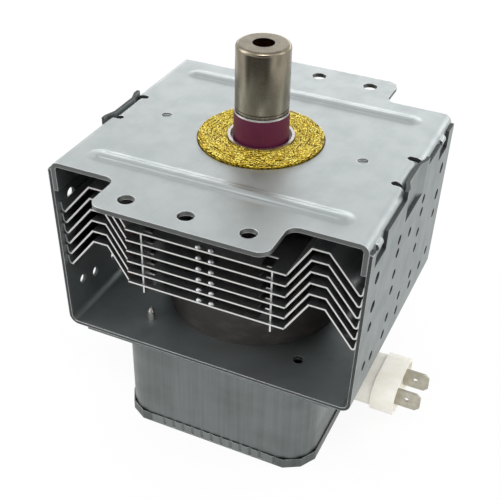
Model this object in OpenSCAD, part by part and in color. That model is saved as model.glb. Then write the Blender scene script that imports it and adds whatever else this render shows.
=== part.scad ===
// Magnetron of a microwave oven: a finned vacuum tube between two ring magnets, held in a
// folded steel yoke, with an antenna on top and a screened filter box underneath.
// Millimetres. The origin is on the antenna axis at the top face of the mounting plate.
// +Z runs up the antenna, +X points to the side where the capacitor comes out.

/* [Mounting plate] */
// Depth of the plate from its front edge to its back edge
plate_d = 75.4; // [64:0.2:84]
// Sheet thickness of the plate
plate_t = 1.4; // [1:0.1:2]
// Outer bend radius along the two sides of the plate
plate_bend_r = 2.4; // [2.2:0.1:4.5]
// How far the side flanges reach down inside the yoke
flange_h = 9; // [6:0.5:13]
// Mounting hole diameter
hole_d = 4.5; // [3.5:0.1:6]
// Mounting hole spacing across, along X
hole_pitch_x = 34; // [28:0.5:44]
// Mounting hole spacing front to back, along Y
hole_pitch_y = 90.5; // [86:0.5:100]
// Sheet left outside the hole centres at the ends of an ear
ear_side = 7.6; // [5:0.2:10]
// Sheet left outside the hole centres at the outer edge of an ear
ear_margin = 6.4; // [5:0.2:9]
// Corner radius of the ears
ear_r = 3.5; // [1:0.1:5]
// Fillet radius where an ear meets the plate
ear_fillet = 3; // [1:0.1:4]
// Length of the two stiffening beads
bead_l = 77.4; // [50:0.2:80]
// Width of a bead
bead_w = 7.3; // [3:0.1:9]
// Height of a bead above the plate
bead_h = 0.8; // [0.4:0.1:1.4]
// Spacing of the two beads front to back
bead_pitch = 57.9; // [50:0.1:64]
// Diameter of the two half-pierced pips that locate the magnet
pip_d = 3; // [2:0.1:4]
// Depth of a pip
pip_h = 0.6; // [0.3:0.1:1]
// Depth of the coined seat under the gasket
seat_h = 0.7; // [0.3:0.1:0.9]
// Distance of the bend's relief cuts from the middle
relief_y = 7.3; // [5:0.1:9]
// Width of a relief cut
relief_w = 2.3; // [1:0.1:3]
// Length of a locking hook along the side
hook_l = 3.4; // [2:0.2:6]
// Radius of a locking hook's rolled end
hook_r = 1.2; // [0.8:0.1:2.6]

/* [Antenna] */
// Diameter of the antenna cap
cap_d = 15.2; // [12:0.1:18]
// Height of the cap's top above the plate
cap_top = 28.2; // [22:0.1:36]
// Wall of the cap
cap_wall = 0.7; // [0.4:0.1:1.2]
// Radius of the cap's top shoulder
cap_r = 1.1; // [0.8:0.1:2]
// Diameter of the hole in the cap's top
cap_hole_d = 6.1; // [3:0.1:8]
// Height of the groove above the cap's lower edge
cap_groove_z = 0.5; // [0.3:0.1:2]
// Width of that groove
cap_groove_w = 0.3; // [0.2:0.05:0.5]
// Gap between the cap's lower edge and the seal flange
cap_gap = 0.35; // [0.1:0.05:0.9]
// Diameter of the antenna ceramic
ceramic_d = 15.7; // [13:0.1:16.6]
// Wall of the antenna ceramic
ceramic_wall = 2.6; // [1.5:0.1:4]
// Height of the ceramic's top above the plate
ceramic_top = 8.5; // [5:0.1:14]
// Flange thickness of the seal cup on top of the ceramic
seal_t = 0.6; // [0.4:0.1:1]
// Height of the seal cup inside the cap
seal_h = 4; // [2:0.5:8]
// Diameter of the copper exhaust tube
exhaust_d = 5.4; // [4:0.1:6]
// Room between the pinched end of the exhaust tube and the cap's top
exhaust_room = 3; // [1:0.5:6]
// Diameter of the antenna lead
lead_d = 2; // [1.4:0.1:2.4]
// Outer diameter of the wire mesh gasket
gasket_d = 35.8; // [30:0.2:44]
// Thickness of the gasket
gasket_t = 1.3; // [1:0.1:3]

/* [Yoke] */
// Width across the outside of the walls at their tops
yoke_top_w = 92.2; // [86:0.2:100]
// Sheet thickness of the yoke
yoke_t = 1; // [0.8:0.1:2]
// Outer bend radius of the yoke
yoke_r = 3; // [2.2:0.1:6]
// Outward lean of each wall, in degrees
splay = 1.75; // [0:0.05:3]
// Distance of the wall tops below the plate's top face
wall_drop = 2.5; // [1.6:0.1:4]
// Depth of the crimp in the middle of a wall's top edge
press_d = 1.2; // [0.4:0.1:1.6]
// How far the crimp reaches down the wall
press_h = 8; // [5:0.5:10]
// How far the crimp stands above the wall's top
press_rise = 2.6; // [1:0.1:4]
// Straight stretch at each end of the crimp
press_end = 1.8; // [0.6:0.1:3]
// Width of the slit in front of the pressed part
lance_w = 0.5; // [0.3:0.1:1]
// Depth of the notches that take the hooks
notch_h = 5.5; // [4.6:0.1:8]
// Length of the notches
notch_l = 9; // [8:0.2:11]
// Diameter of the air holes in the walls
vent_d = 2.9; // [2:0.1:3.6]
// Diameter of the corner air holes in the walls
vent_big_d = 3.5; // [2.4:0.1:4.4]
// Diameter of the spare holes in the floor
spare_d = 3.2; // [2:0.1:5]

/* [Magnets and tube] */
// Outer diameter of the ring magnets
magnet_d = 54; // [48:0.2:58]
// Thickness of a ring magnet
magnet_h = 12.5; // [10:0.1:14]
// Room between a magnet's bore and the sealing can
magnet_room = 1; // [0.4:0.1:2]
// Outer diameter of the sealing cans
can_d = 19; // [18.4:0.1:21]
// Wall of the sealing cans
can_t = 0.8; // [0.5:0.1:1]
// Height of the upper can's rim above the plate
can_rim = 1.2; // [0.6:0.1:2]
// Depth of the ceramic's seat below the can's rim
can_seat = 3; // [2:0.1:5]
// Height of the anode cylinder
anode_h = 27.8; // [24:0.1:32]
// Outer diameter of the anode cylinder
anode_d = 39; // [37:0.1:41]
// Wall of the anode cylinder
anode_wall = 3; // [2.4:0.1:4]
// Depth of the step that the pole pieces sit on
anode_step = 1; // [0.5:0.1:1.4]
// Height of the anode vanes
vane_h = 9.5; // [8:0.1:11]
// Thickness of an anode vane
vane_t = 2; // [1.4:0.1:2.4]
// Diameter of the space inside the vanes' tips
bore_d = 9.2; // [8.6:0.1:10]
// Width of a strap ring
strap_w = 1; // [0.6:0.1:1.2]
// Height of a strap ring
strap_h = 1; // [0.6:0.1:1.6]
// Sheet thickness of the pole pieces
pole_t = 1.6; // [1:0.1:2]
// Depth of a pole piece's funnel
pole_h = 6.6; // [5:0.1:7]
// Diameter of the hole in a pole piece
pole_hole_d = 9; // [8:0.1:10]

/* [Cathode] */
// Mean diameter of the filament coil
filament_d = 3.8; // [3.2:0.1:4.6]
// Wire diameter of the filament
filament_wire = 0.6; // [0.4:0.05:0.8]
// Turns of the filament
filament_turns = 8; // [6:1:9]
// Diameter of the end hats
hat_d = 6.8; // [6:0.1:7.4]
// Thickness of the end hats
hat_t = 1; // [0.6:0.1:1.4]
// Diameter of the cathode leads
cathode_lead_d = 1.5; // [1:0.1:1.8]
// Offset of the side lead from the axis
side_lead_x = 2.6; // [2.4:0.1:2.9]
// Length of the stem ceramic
stem_h = 11; // [8:0.5:14]
// Thickness of the stem's terminal strips
strip_t = 0.8; // [0.5:0.1:1.2]

/* [Cooling fins] */
// Sheet thickness of a fin
fin_t = 0.5; // [0.4:0.05:0.9]
// Spacing of the fins
fin_pitch = 3.55; // [3:0.05:3.8]
// Distance of the top fin below the upper magnet
fin_first = 2.5; // [1.6:0.1:3.4]
// Depth of a fin front to back
fin_d = 72.8; // [60:0.2:75]
// Width of the flat middle of a fin
fin_flat = 47.6; // [45:0.2:52]
// Width over the inner edges of the two peaks
fin_peak_in = 60.2; // [56:0.2:64]
// Width over the outer edges of the two peaks
fin_peak_out = 69.4; // [66:0.2:74]
// Height of the peaks above the flat middle
fin_rise = 10; // [6:0.1:10.4]
// Height of the upturned lip at the wall
lip_h = 2.6; // [1.6:0.1:3]
// Set-back of the wings behind the middle's front edge
wing_step = 0.5; // [0:0.1:2]
// Distance of the bent-down spacer tabs from the middle
tab_x = 19.2; // [16:0.1:21]
// Length of a spacer tab along the fin's edge strip
tab_l = 4.9; // [2:0.1:6]
// Strip of sheet left in front of a spacer tab
tab_edge = 1; // [0.6:0.1:3]
// Radius of the pressed pips near the fin's edge
fin_pip_r = 1; // [0.4:0.1:1.2]
// Spacing of the two pressed pips
fin_pip_pitch = 3.8; // [2.4:0.1:8]

/* [Filter box] */
// Width of the box
box_w = 62.8; // [56:0.2:66]
// Depth of the box
box_d = 64.3; // [56:0.1:68]
// Height from the yoke's underside to the lid's underside
box_h = 36.6; // [32:0.2:48]
// Corner radius of the box
box_r = 10; // [6:0.5:15]
// Sheet thickness of the box
box_t = 0.7; // [0.5:0.1:1]
// Width of the box's flange under the yoke
box_flange_w = 76.8; // [70:0.2:80]
// Sheet thickness of the lid
lid_t = 0.4; // [0.3:0.1:1]
// Height of the lid's rim
lid_rim = 3.3; // [2:0.1:5]
// Gap between the lid's rim and the box
lid_gap = 0.05; // [0.02:0.01:0.3]
// Spacing of the crimps along the lid's rim
crimp_pitch = 3.3; // [2.4:0.1:5]
// Depth of a crimp
crimp_h = 0.22; // [0.1:0.02:0.28]
// Width of the slits that part the lid's rim at its corners
slit_w = 0.25; // [0.15:0.05:0.6]
// Shank diameter of the screws that hold the box
screw_d = 2.3; // [1.8:0.1:3]
// Height of the screw tips above the yoke's floor
screw_tip = 4.2; // [2:0.1:6]

/* [Capacitor] */
// Distance of the capacitor's axis below the yoke
cap_drop = 20.1; // [15:0.1:24]
// Spacing of the two terminal tabs
tab_pitch = 9.5; // [8.4:0.1:12]
// Width of a terminal tab
blade_w = 6.3; // [4.8:0.1:6.6]
// Thickness of a terminal tab
blade_t = 0.8; // [0.5:0.1:1]
// Length of a terminal tab outside the housing
blade_l = 7; // [5:0.1:10]
// Diameter of the hole in a tab
blade_hole_d = 1.5; // [1:0.1:2]
// Height of the capacitor's housing
housing_h = 9.8; // [9:0.1:12]
// Extra height of the housing's collar
collar_h = 1.8; // [0.6:0.1:3]
// Length of the housing's neck outside the box
neck_l = 11.6; // [8:0.1:16]
// Length of the housing's collar
collar_l = 7.2; // [5:0.1:10]
// Depth of the recess in the collar's end
recess_h = 1; // [0.4:0.1:2]
// Length of the case inside the box
case_l = 12; // [8:0.5:14]
// Wall of the case inside the box
case_wall = 1; // [0.6:0.1:1.5]
// Diameter of the through rods
rod_d = 1.8; // [1.2:0.1:2.2]
// Thickness of the mounting flange
cap_flange_t = 0.8; // [0.5:0.1:1.2]
// Spacing of the rivets in the mounting flange
rivet_pitch = 27; // [26.5:0.5:32]
// Diameter of a rivet's shank
rivet_d = 2.4; // [1.8:0.1:3]

/* [Chokes] */
// Wire diameter of the choke coils
choke_wire = 1.4; // [1:0.1:1.8]
// Turns of a choke coil
choke_turns = 11; // [8:1:13]
// Diameter of the ferrite cores
core_d = 6.6; // [5:0.1:8]
// How far a core stands out of its coil at each end
core_over = 2; // [1:0.5:3]
// Spacing of the two chokes front to back
choke_pitch = 28; // [24:0.5:32]
// Depth of the chokes' axes below the stem
choke_drop = 7; // [6.6:0.1:8]

/* [Fits] */
// Gap left between pieces that touch
seat = 0.02; // [0.01:0.01:0.1]
// Gap left around pieces that pass through holes
clear = 0.15; // [0.08:0.01:0.3]

/* [Hidden] */
$fn = 64;
eps = 0.05;

// Levels of the stack, from the plate's top face down
z_plate = -plate_t;
z_top = z_plate - magnet_h;
z_bot = z_top - anode_h;
z_mid = (z_top + z_bot) / 2;
z_floor = z_bot - magnet_h;
z_yoke = z_floor - yoke_t;
z_lid = z_yoke - box_h;
z_box_in = z_yoke - box_t;
z_box_low = z_lid + lid_t + seat;

// Yoke wall: bend centre, length along the wall, and the inner face's X at any height
yoke_cz = z_yoke + yoke_r;
wall_l = (-wall_drop - yoke_cz + yoke_r * sin(splay)) / cos(splay);
yoke_cx = yoke_top_w / 2 - yoke_r * cos(splay) - wall_l * sin(splay);
function wall_in(z) = yoke_cx + (yoke_r - yoke_t) / cos(splay) + (z - yoke_cz) * tan(splay);
function along(z) = (z - yoke_cz + yoke_r * sin(splay)) / cos(splay);
yoke_d = plate_d;

// Plate bend centre, and the hooks with the notches that take them
plate_cx = wall_in(-plate_bend_r) - seat - plate_bend_r / cos(splay);
press_ramp = 3.4;
press_half = relief_y + relief_w / 2 - 0.1 - press_ramp;
hook_y = [-plate_d / 2 + 6.3, plate_d / 2 - 11.1];
hook_z = -plate_bend_r - 0.65 * hook_r;
notch_y = [for (y = hook_y) y + notch_l / 2 - hook_l / 2 - 1.7];
ear_y = hole_pitch_y / 2 + ear_margin;
ear_w = hole_pitch_x + 2 * ear_side;
pip_x = magnet_d / 2 + pip_d / 2 + 1.7;

// Air holes of a wall: distance from the middle, share of the way from floor to plate, size
vent_z = function (f) z_yoke + f * -z_yoke;
vents = [
    for (s = [-1, 1]) each [
        [s * 0.402, 0.747, vent_big_d], [s * 0.402, 0.579, vent_big_d], [s * 0.402, 0.455, vent_d],
        [s * 0.399, 0.202, vent_d], [s * 0.312, 0.173, vent_d], [s * 0.172, 0.166, vent_d],
        [s * 0.151, 0.744, vent_d], [s * 0.151, 0.664, vent_d], [s * 0.151, 0.536, vent_d],
        [s * 0.151, 0.435, vent_d], [s * 0.151, 0.258, vent_d]],
    [0, 0.664, vent_d], [0, 0.255, vent_d], [0, 0.155, vent_d]];

// Tube radii
can_r = can_d / 2;
can_in = can_r - can_t;
ledge_r = ceramic_d / 2 - ceramic_wall;
anode_r = anode_d / 2;
anode_in = anode_r - anode_wall;
pole_r = anode_in + anode_step - seat;
strap_r = [bore_d / 2 + 2, bore_d / 2 + 2 + strap_w + 0.9];
hat_z = vane_h / 2 + 0.35;
pole_top = z_top - can_t - seat;
lead_x = 7.1;
lead_root = strap_r[1] + strap_w + lead_d / 2 + 1.2;

// Antenna levels
z_seat = can_rim - can_seat;
z_seal = ceramic_top + seal_t;
z_skirt = z_seal + cap_gap;
exhaust_top = cap_top - cap_wall - exhaust_room;

// Stem and filter levels
z_can_end = z_yoke - can_rim - 2;
z_stem = z_can_end + can_seat;
z_stem_low = z_stem - stem_h;
z_cap = z_yoke - cap_drop;
x_box = box_w / 2;
x_neck = x_box + neck_l;
x_end = x_neck + collar_l;
x_case = x_box - box_t - 1.2;
x_rod = x_case - case_l - 2;
neck_half = tab_pitch / 2 + 0.25;
z_choke = z_stem_low - strip_t - choke_drop;
choke_l = (choke_turns - 0.5) * choke_wire * 1.08;
choke_x = -3;
lid_d = box_d / 2 + lid_gap + lid_t;
screw_at = [for (s = [-1, 1]) s * [box_w / 2 - 8.7, box_d / 2 - 5.35]];
spare_at = [for (s = [-1, 1]) s * [box_w / 2 - 7.1, 7.35 - box_d / 2]];

// Fin levels
function fin_z(i) = z_top - fin_first - i * fin_pitch;

// Left-hand normal of a segment, one side of a bent strip, the strip's closed outline, and
// the middle line of a bend with a straight run after it
function normal(a, b) = let (d = b - a) [-d[1], d[0]] / norm(d);
function side(p, h) = [for (i = [0:len(p) - 1]) let (
    m = normal(p[max(i - 1, 0)], p[max(i, 1)]),
    n = normal(p[min(i, len(p) - 2)], p[min(i + 1, len(p) - 1)]))
    p[i] + h * (m + n) / (1 + m * n)];
function reversed(p) = [for (i = [len(p) - 1:-1:0]) p[i]];
function strip(p, t) = concat(side(p, t / 2), reversed(side(p, -t / 2)));
function carry(n, t) = let (m = n - (n * t) * t) m / norm(m);
function bent(c, r, a0, a1, length) = concat(
    [for (i = [0:20]) let (a = a0 + (a1 - a0) * i / 20) c + r * [cos(a), sin(a)]],
    [c + r * [cos(a1), sin(a1)] + length * [-sin(a1), cos(a1)]]);
function mirrored(p) = [for (q = reversed(p)) [-q[0], q[1]]];

// Colours
steel = [0.72, 0.75, 0.76];
dark_steel = [0.45, 0.48, 0.48];
copper = [0.72, 0.42, 0.28];
alu = [0.82, 0.83, 0.84];
ferrite = [0.15, 0.14, 0.14];

// Outline with rounded corners, made of true arcs
module round_rect(w, d, r) {
    square([w - 2 * r, d], center = true);
    square([w, d - 2 * r], center = true);
    for (x = [-1, 1], y = [-1, 1])
        translate([x * (w / 2 - r), y * (d / 2 - r)]) circle(r);
}

// Long hole outline: two half circles a distance apart, along the first axis
module stadium(half, r) {
    square([2 * half, 2 * r], center = true);
    for (s = [-1, 1])
        translate([s * half, 0]) circle(r);
}

// Extrude an outline drawn in (Y, Z) along +X, or one drawn in (X, Z) along Y about the middle
module along_x(x0, x1) {
    translate([x0, 0, 0]) rotate([90, 0, 90]) linear_extrude(x1 - x0) children();
}
module along_y(depth) {
    rotate([90, 0, 0]) linear_extrude(depth, center = true) children();
}

// Ring or tube about Z between two heights
module tube(r_out, r_in, z0, z1) {
    difference() {
        translate([0, 0, z0]) cylinder(r = r_out, h = z1 - z0);
        translate([0, 0, z0 - 1]) cylinder(r = r_in, h = z1 - z0 + 2);
    }
}

// Bent wire: rings of eight points carried along a path without twist
module wire(p, r) {
    last = len(p) - 1;
    t = [for (i = [0:last]) let (d = p[min(i + 1, last)] - p[max(i - 1, 0)]) d / norm(d)];
    first = cross(t[0], [0.3, 0.5, 0.8]);
    u = [for (i = 0, n = first / norm(first); i <= last;
        n = carry(n, t[min(i + 1, last)]), i = i + 1) n];
    points = [for (i = [0:last], j = [0:7])
        p[i] + r * (cos(45 * j) * u[i] + sin(45 * j) * cross(t[i], u[i]))];
    quads = [for (i = [0:last - 1], j = [0:7]) let (k = (j + 1) % 8)
        [8 * i + j, 8 * i + 8 + j, 8 * i + 8 + k, 8 * i + k]];
    ends = [[for (j = [0:7]) j], [for (j = [7:-1:0]) 8 * last + j]];
    polyhedron(points, concat(quads, ends), convexity = 10);
}

// Section of the mounting plate: flat top, two bends and two flanges that follow the yoke's walls
module plate_section(inset) {
    half = bent([plate_cx - inset, -plate_bend_r], plate_bend_r - plate_t / 2, 90, -splay,
        plate_bend_r - flange_h);
    polygon(strip(concat(mirrored(half), half), plate_t));
}

// Pressed bead: a wave in section, with round ends
module bead() {
    half = bead_l / 2 - bead_w / 2;
    steps = 10;
    wave = [for (i = [0:steps]) [bead_w / 2 * i / steps, bead_h * (1 + cos(180 * i / steps)) / 2]];
    skirt = [[bead_w / 2, -eps], [0, -eps]];
    for (s = [0, 1])
        mirror([0, s, 0]) along_x(-half, half) polygon(concat(wave, skirt));
    for (s = [-1, 1])
        translate([s * half, 0, 0]) rotate_extrude() polygon(concat(wave, skirt));
}

module ear_outline() {
    root = plate_d / 2 - 1;
    translate([-ear_w / 2, root]) square([ear_w, ear_y - ear_r - root]);
    translate([-ear_w / 2 + ear_r, root]) square([ear_w - 2 * ear_r, ear_y - root]);
    for (s = [-1, 1]) {
        translate([s * (ear_w / 2 - ear_r), ear_y - ear_r]) circle(ear_r);
        difference() {
            translate([s * (ear_w / 2 + ear_fillet / 2 - eps), plate_d / 2 + ear_fillet / 2 - eps])
                square(ear_fillet, center = true);
            translate([s * (ear_w / 2 + ear_fillet), plate_d / 2 + ear_fillet]) circle(ear_fillet);
        }
    }
}

module mounting_plate() {
    color(steel) difference() {
        union() {
            for (s = [-1, 1]) {
                translate([0, s * (plate_d / 2 + relief_y) / 2, 0])
                    along_y(plate_d / 2 - relief_y) plate_section(0);
                translate([0, 0, -plate_t]) linear_extrude(plate_t)
                    mirror([0, s > 0 ? 0 : 1]) ear_outline();
                translate([0, s * bead_pitch / 2, 0]) bead();
                translate([s * pip_x, 0, z_plate - pip_h]) cylinder(d = pip_d, h = pip_h + eps);
                for (y = hook_y)
                    translate([s * (plate_cx + plate_bend_r - hook_r / 8), y, hook_z])
                        rotate([90, 0, 0]) cylinder(r = hook_r, h = hook_l, center = true);
            }
            along_y(2 * relief_y) plate_section(press_d + seat);
        }
        for (s = [-1, 1]) {
            for (x = [-1, 0, 1])
                translate([x * hole_pitch_x / 2, s * hole_pitch_y / 2, -plate_t - 1])
                    cylinder(d = hole_d, h = plate_t + 2);
            translate([0, s * bead_pitch / 2, -plate_t]) bead();
            translate([s * pip_x, 0, -pip_h]) cylinder(d = pip_d, h = pip_h + 1);
            for (t = [-1, 1])
                translate([s * (plate_cx - 1), t * relief_y, 0]) {
                    cylinder(d = relief_w, h = 4 * flange_h, center = true);
                    translate([s > 0 ? 0 : -20, -relief_w / 2, -2 * flange_h])
                        cube([20, relief_w, 4 * flange_h]);
                }
        }
        translate([0, 0, -seat_h]) cylinder(d = gasket_d + 0.4, h = seat_h + 1);
        translate([0, 0, -plate_t - 1]) cylinder(r = can_r + clear, h = plate_t + 2);
    }
}

// Section of the yoke: floor, two bends and two leaning walls
module yoke_section() {
    half = bent([yoke_cx, yoke_cz], yoke_r - yoke_t / 2, -90, -splay, wall_l);
    polygon(strip(concat(mirrored(half), half), yoke_t));
}

// A wall's own frame: the bend's centre is the origin and the wall stands straight up
module on_walls() {
    for (s = [0, 1])
        mirror([s, 0, 0]) translate([yoke_cx, 0, yoke_cz]) rotate([0, splay, 0]) children();
}

// Crimp in the middle of a wall's top edge: a raised tab, pressed in between the plate's relief cuts
module crimp() {
    half = press_half + press_ramp;
    over = half + press_end;
    x = yoke_r - press_d;
    outer = [[yoke_r, -over], [yoke_r, -half], [x, -press_half], [x, press_half], [yoke_r, half],
        [yoke_r, over]];
    inner = [for (p = reversed(outer)) p - [yoke_t, 0]];
    translate([0, 0, wall_l - press_h - eps]) linear_extrude(press_h + press_rise + eps)
        polygon(concat(outer, inner));
}

module yoke() {
    x0 = yoke_r - yoke_t;
    half = press_half + press_ramp;
    color(steel) difference() {
        union() {
            difference() {
                along_y(yoke_d) yoke_section();
                on_walls() translate([x0 - 1, -half, wall_l - press_h])
                    cube([yoke_t + 2, 2 * half, press_h + 1]);
            }
            on_walls() crimp();
        }
        on_walls() {
            for (y = notch_y)
                translate([x0 - 1, y - notch_l / 2, wall_l - notch_h])
                    cube([yoke_t + 2, notch_l, notch_h + 1]);
            translate([x0 - 2, -press_half, wall_l - press_h / 2])
                cube([yoke_t + 3, lance_w, press_h / 2 + press_rise - 1]);
            for (v = vents)
                translate([x0 - 1, v[0] * yoke_d, along(vent_z(v[1]))]) rotate([0, 90, 0])
                    cylinder(d = v[2], h = yoke_t + 2);
        }
        translate([0, 0, z_yoke - 1]) cylinder(r = can_r + 2 * clear, h = yoke_t + 2);
        for (p = screw_at)
            translate([p[0], p[1], z_yoke - 1]) cylinder(d = screw_d + 2 * seat, h = yoke_t + 2);
        for (p = spare_at)
            translate([p[0], p[1], z_yoke - 1]) cylinder(d = spare_d, h = yoke_t + 2);
    }
}

module rf_gasket() {
    r_in = can_r + clear;
    w = gasket_d / 2 - r_in;
    color([0.85, 0.68, 0.2]) rotate_extrude()
        translate([r_in + w / 2, gasket_t / 2 - seat_h + seat]) round_rect(w, gasket_t, gasket_t * 0.3);
}

// Cap: a drawn cup with a rounded shoulder and a hole in its top
module antenna_cap() {
    r = cap_d / 2;
    color([0.5, 0.47, 0.42]) difference() {
        union() {
            translate([0, 0, z_skirt]) cylinder(r = r, h = cap_top - cap_r - z_skirt);
            translate([0, 0, cap_top - cap_r - eps]) cylinder(r = r - cap_r, h = cap_r + eps);
            translate([0, 0, cap_top - cap_r]) rotate_extrude() translate([r - cap_r, 0]) intersection() {
                circle(cap_r);
                translate([0, -eps]) square(2 * cap_r);
            }
        }
        translate([0, 0, z_skirt - 1]) cylinder(r = r - cap_wall, h = cap_top - cap_wall - z_skirt + 1);
        tube(r + 1, r - cap_groove_w, z_skirt + cap_groove_z, z_skirt + cap_groove_z + cap_groove_w);
        translate([0, 0, cap_top - 2 * cap_wall]) cylinder(d = cap_hole_d, h = 3 * cap_wall);
    }
}

// Seal cup: flange brazed on the ceramic, and a cup that the cap is pressed over
module seal_cup() {
    r = cap_d / 2 - cap_wall - seat;
    color(steel) difference() {
        union() {
            translate([0, 0, ceramic_top + seat]) cylinder(d = ceramic_d, h = seal_t - seat);
            translate([0, 0, ceramic_top + seal_t / 2]) cylinder(r = r, h = seal_h);
        }
        translate([0, 0, ceramic_top - 1]) cylinder(r = r - seal_t, h = seal_h + 1);
        translate([0, 0, ceramic_top]) cylinder(d = exhaust_d + 2 * seat, h = 2 * seal_h);
    }
}

// Exhaust tube: copper, pinched flat at the top to seal the vacuum
module exhaust_tube() {
    r = exhaust_d / 2;
    z0 = ceramic_top + 1;
    pinch = 4;
    color(copper) difference() {
        translate([0, 0, z0]) cylinder(r = r, h = exhaust_top - z0);
        translate([0, 0, z0 - 1]) cylinder(d = lead_d + 2 * clear, h = exhaust_top - pinch - z0 + 1);
        for (s = [0, 1])
            mirror([0, s, 0]) along_x(-exhaust_d, exhaust_d) polygon([
                [0.5, exhaust_top + 1], [0.5, exhaust_top - 1], [r + 0.1, exhaust_top - pinch],
                [r + 2, exhaust_top - pinch], [r + 2, exhaust_top + 1]]);
    }
}

module antenna_ceramic() {
    color([0.42, 0.18, 0.27])
        tube(ceramic_d / 2, ceramic_d / 2 - ceramic_wall, z_seat + seat, ceramic_top);
}

// Antenna lead: from the top of a vane, through the pole piece, up into the exhaust tube
module antenna_lead() {
    z0 = z_mid + vane_h / 2 + seat;
    color(copper) wire([
        [lead_root, 0, z0], [lead_root, 0, z0 + 1.4], [lead_x, 0, z0 + 4.6], [lead_x, 0, z_top + 1],
        [0, 0, z_seat - 2], [0, 0, exhaust_top - 4.2]], lead_d / 2);
}

// Sealing can about Z: a flange towards the anode, a tube, and a ledge that carries a ceramic
module can(z_flange, z_end, z_ledge, up) {
    lo = min(z_flange, z_end);
    hi = max(z_flange, z_end);
    color(steel) {
        tube(can_r, can_in, lo, hi);
        tube(pole_r, can_in, up ? lo : hi - can_t, up ? lo + can_t : hi);
        tube(can_in + eps, ledge_r, up ? z_ledge - can_t : z_ledge, up ? z_ledge : z_ledge + can_t);
    }
}
module upper_can() {
    can(z_top - can_t, can_rim, z_seat, true);
}
module lower_can() {
    can(z_bot + can_t, z_can_end, z_stem, false);
}

module magnet(z0) {
    color(ferrite) tube(magnet_d / 2, can_r + magnet_room, z0 + seat, z0 + magnet_h - seat);
}

// One fin: a pressed aluminium sheet with two raised wings, a collar, spacer tabs and pips
module fin(i) {
    z0 = fin_z(i);
    tip = wall_in(z0 + lip_h) - seat - fin_t / 2 - 0.05;
    half = [[fin_flat / 2, z0], [fin_peak_in / 2, z0 + fin_rise], [fin_peak_out / 2, z0 + fin_rise],
        [tip - 1.75, z0 + 0.5], [tip - 1.25, z0 - 0.15], [tip - 0.75, z0 - 0.15],
        [tip - 0.3, z0 + 0.35], [tip, z0 + lip_h]];
    tab_h = fin_pitch - fin_t / 2 - seat;
    tab_y = fin_d / 2 - tab_edge - tab_l;
    wing = yoke_top_w / 2;
    color(alu) difference() {
        union() {
            along_y(fin_d) polygon(strip(concat(mirrored(half), half), fin_t));
            translate([0, 0, z0]) cylinder(r = anode_r + 0.9, h = fin_t / 2 + 1);
            for (x = [-1, 1], y = [0, 1])
                mirror([0, y, 0]) {
                    translate([x * (tab_x + fin_t / 2) - fin_t / 2, tab_y, z0 - tab_h])
                        cube([fin_t, tab_l, tab_h]);
                    translate([x * fin_pip_pitch / 2, fin_d / 2 - 1.1 * fin_pip_r, z0]) intersection() {
                        sphere(fin_pip_r, $fn = 32);
                        cylinder(r = 2 * fin_pip_r, h = 2 * fin_pip_r);
                    }
                }
        }
        translate([0, 0, z0 - fin_pitch]) cylinder(r = anode_r + seat, h = 3 * fin_pitch);
        translate([0, 0, z_top - 0.2]) cylinder(d = magnet_d + 1, h = magnet_h + 1);
        for (x = [-1, 1], y = [0, 1])
            mirror([0, y, 0]) {
                translate([x * (tab_x - tab_h / 2) - tab_h / 2, tab_y, z0 - fin_t / 2 - eps])
                    cube([tab_h, tab_l, fin_t + 2 * eps]);
                translate([x * (fin_flat / 2 + wing) - wing, fin_d / 2 - wing_step, z0 - fin_rise])
                    cube([2 * wing, wing_step + 1, 3 * fin_rise]);
            }
    }
}

// Anode cylinder: copper, with a step at each end for the pole pieces
module anode_cylinder() {
    step = can_t + pole_t + 2 * seat;
    color(copper) difference() {
        translate([0, 0, z_bot]) cylinder(r = anode_r, h = anode_h);
        translate([0, 0, z_bot - 1]) cylinder(r = anode_in, h = anode_h + 2);
        translate([0, 0, z_top - step]) cylinder(r = anode_in + anode_step, h = step + 1);
        translate([0, 0, z_bot - 1]) cylinder(r = anode_in + anode_step, h = step + 1);
    }
}

// One vane: its edges are notched for the straps, and touch every second strap
module vane(k) {
    r0 = bore_d / 2;
    r1 = sqrt(anode_in * anode_in - vane_t * vane_t / 4) - seat;
    color(copper) translate([0, 0, z_mid]) rotate([0, 0, 36 * k]) difference() {
        translate([r0, -vane_t / 2, -vane_h / 2]) cube([r1 - r0, vane_t, vane_h]);
        for (top = [0, 1], ring = [0, 1]) {
            room = (k + top + ring) % 2 == 0 ? seat : 0.35;
            d = strap_h + room;
            near = sqrt(strap_r[ring] * strap_r[ring] - vane_t * vane_t / 4) - room;
            far = strap_r[ring] + strap_w + room;
            translate([near, -vane_t, top == 1 ? vane_h / 2 - d : -vane_h / 2 - 1])
                cube([far - near, 2 * vane_t, d + 1]);
        }
    }
}

module strap(ring, top) {
    z = top == 1 ? z_mid + vane_h / 2 - strap_h : z_mid - vane_h / 2;
    color(copper) tube(strap_r[ring] + strap_w, strap_r[ring], z, z + strap_h);
}

// Pole piece about Z with its flange at the origin and its funnel pointing down
module pole(with_hole) {
    r = pole_hole_d / 2;
    color(steel) difference() {
        rotate_extrude() polygon([
            [pole_r, 0], [pole_r, -pole_t], [can_in + 1.6, -pole_t], [r + 1.2, -pole_h], [r, -pole_h],
            [r, -pole_h + 1.2], [can_in + 0.2, 0]]);
        if (with_hole)
            translate([lead_x, 0, -2 * pole_h]) cylinder(r = lead_d / 2 + 0.8, h = 3 * pole_h);
    }
}
module upper_pole() {
    translate([0, 0, pole_top]) pole(true);
}
module lower_pole() {
    translate([0, 0, z_bot + can_t + seat]) mirror([0, 0, 1]) pole(false);
}

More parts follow.
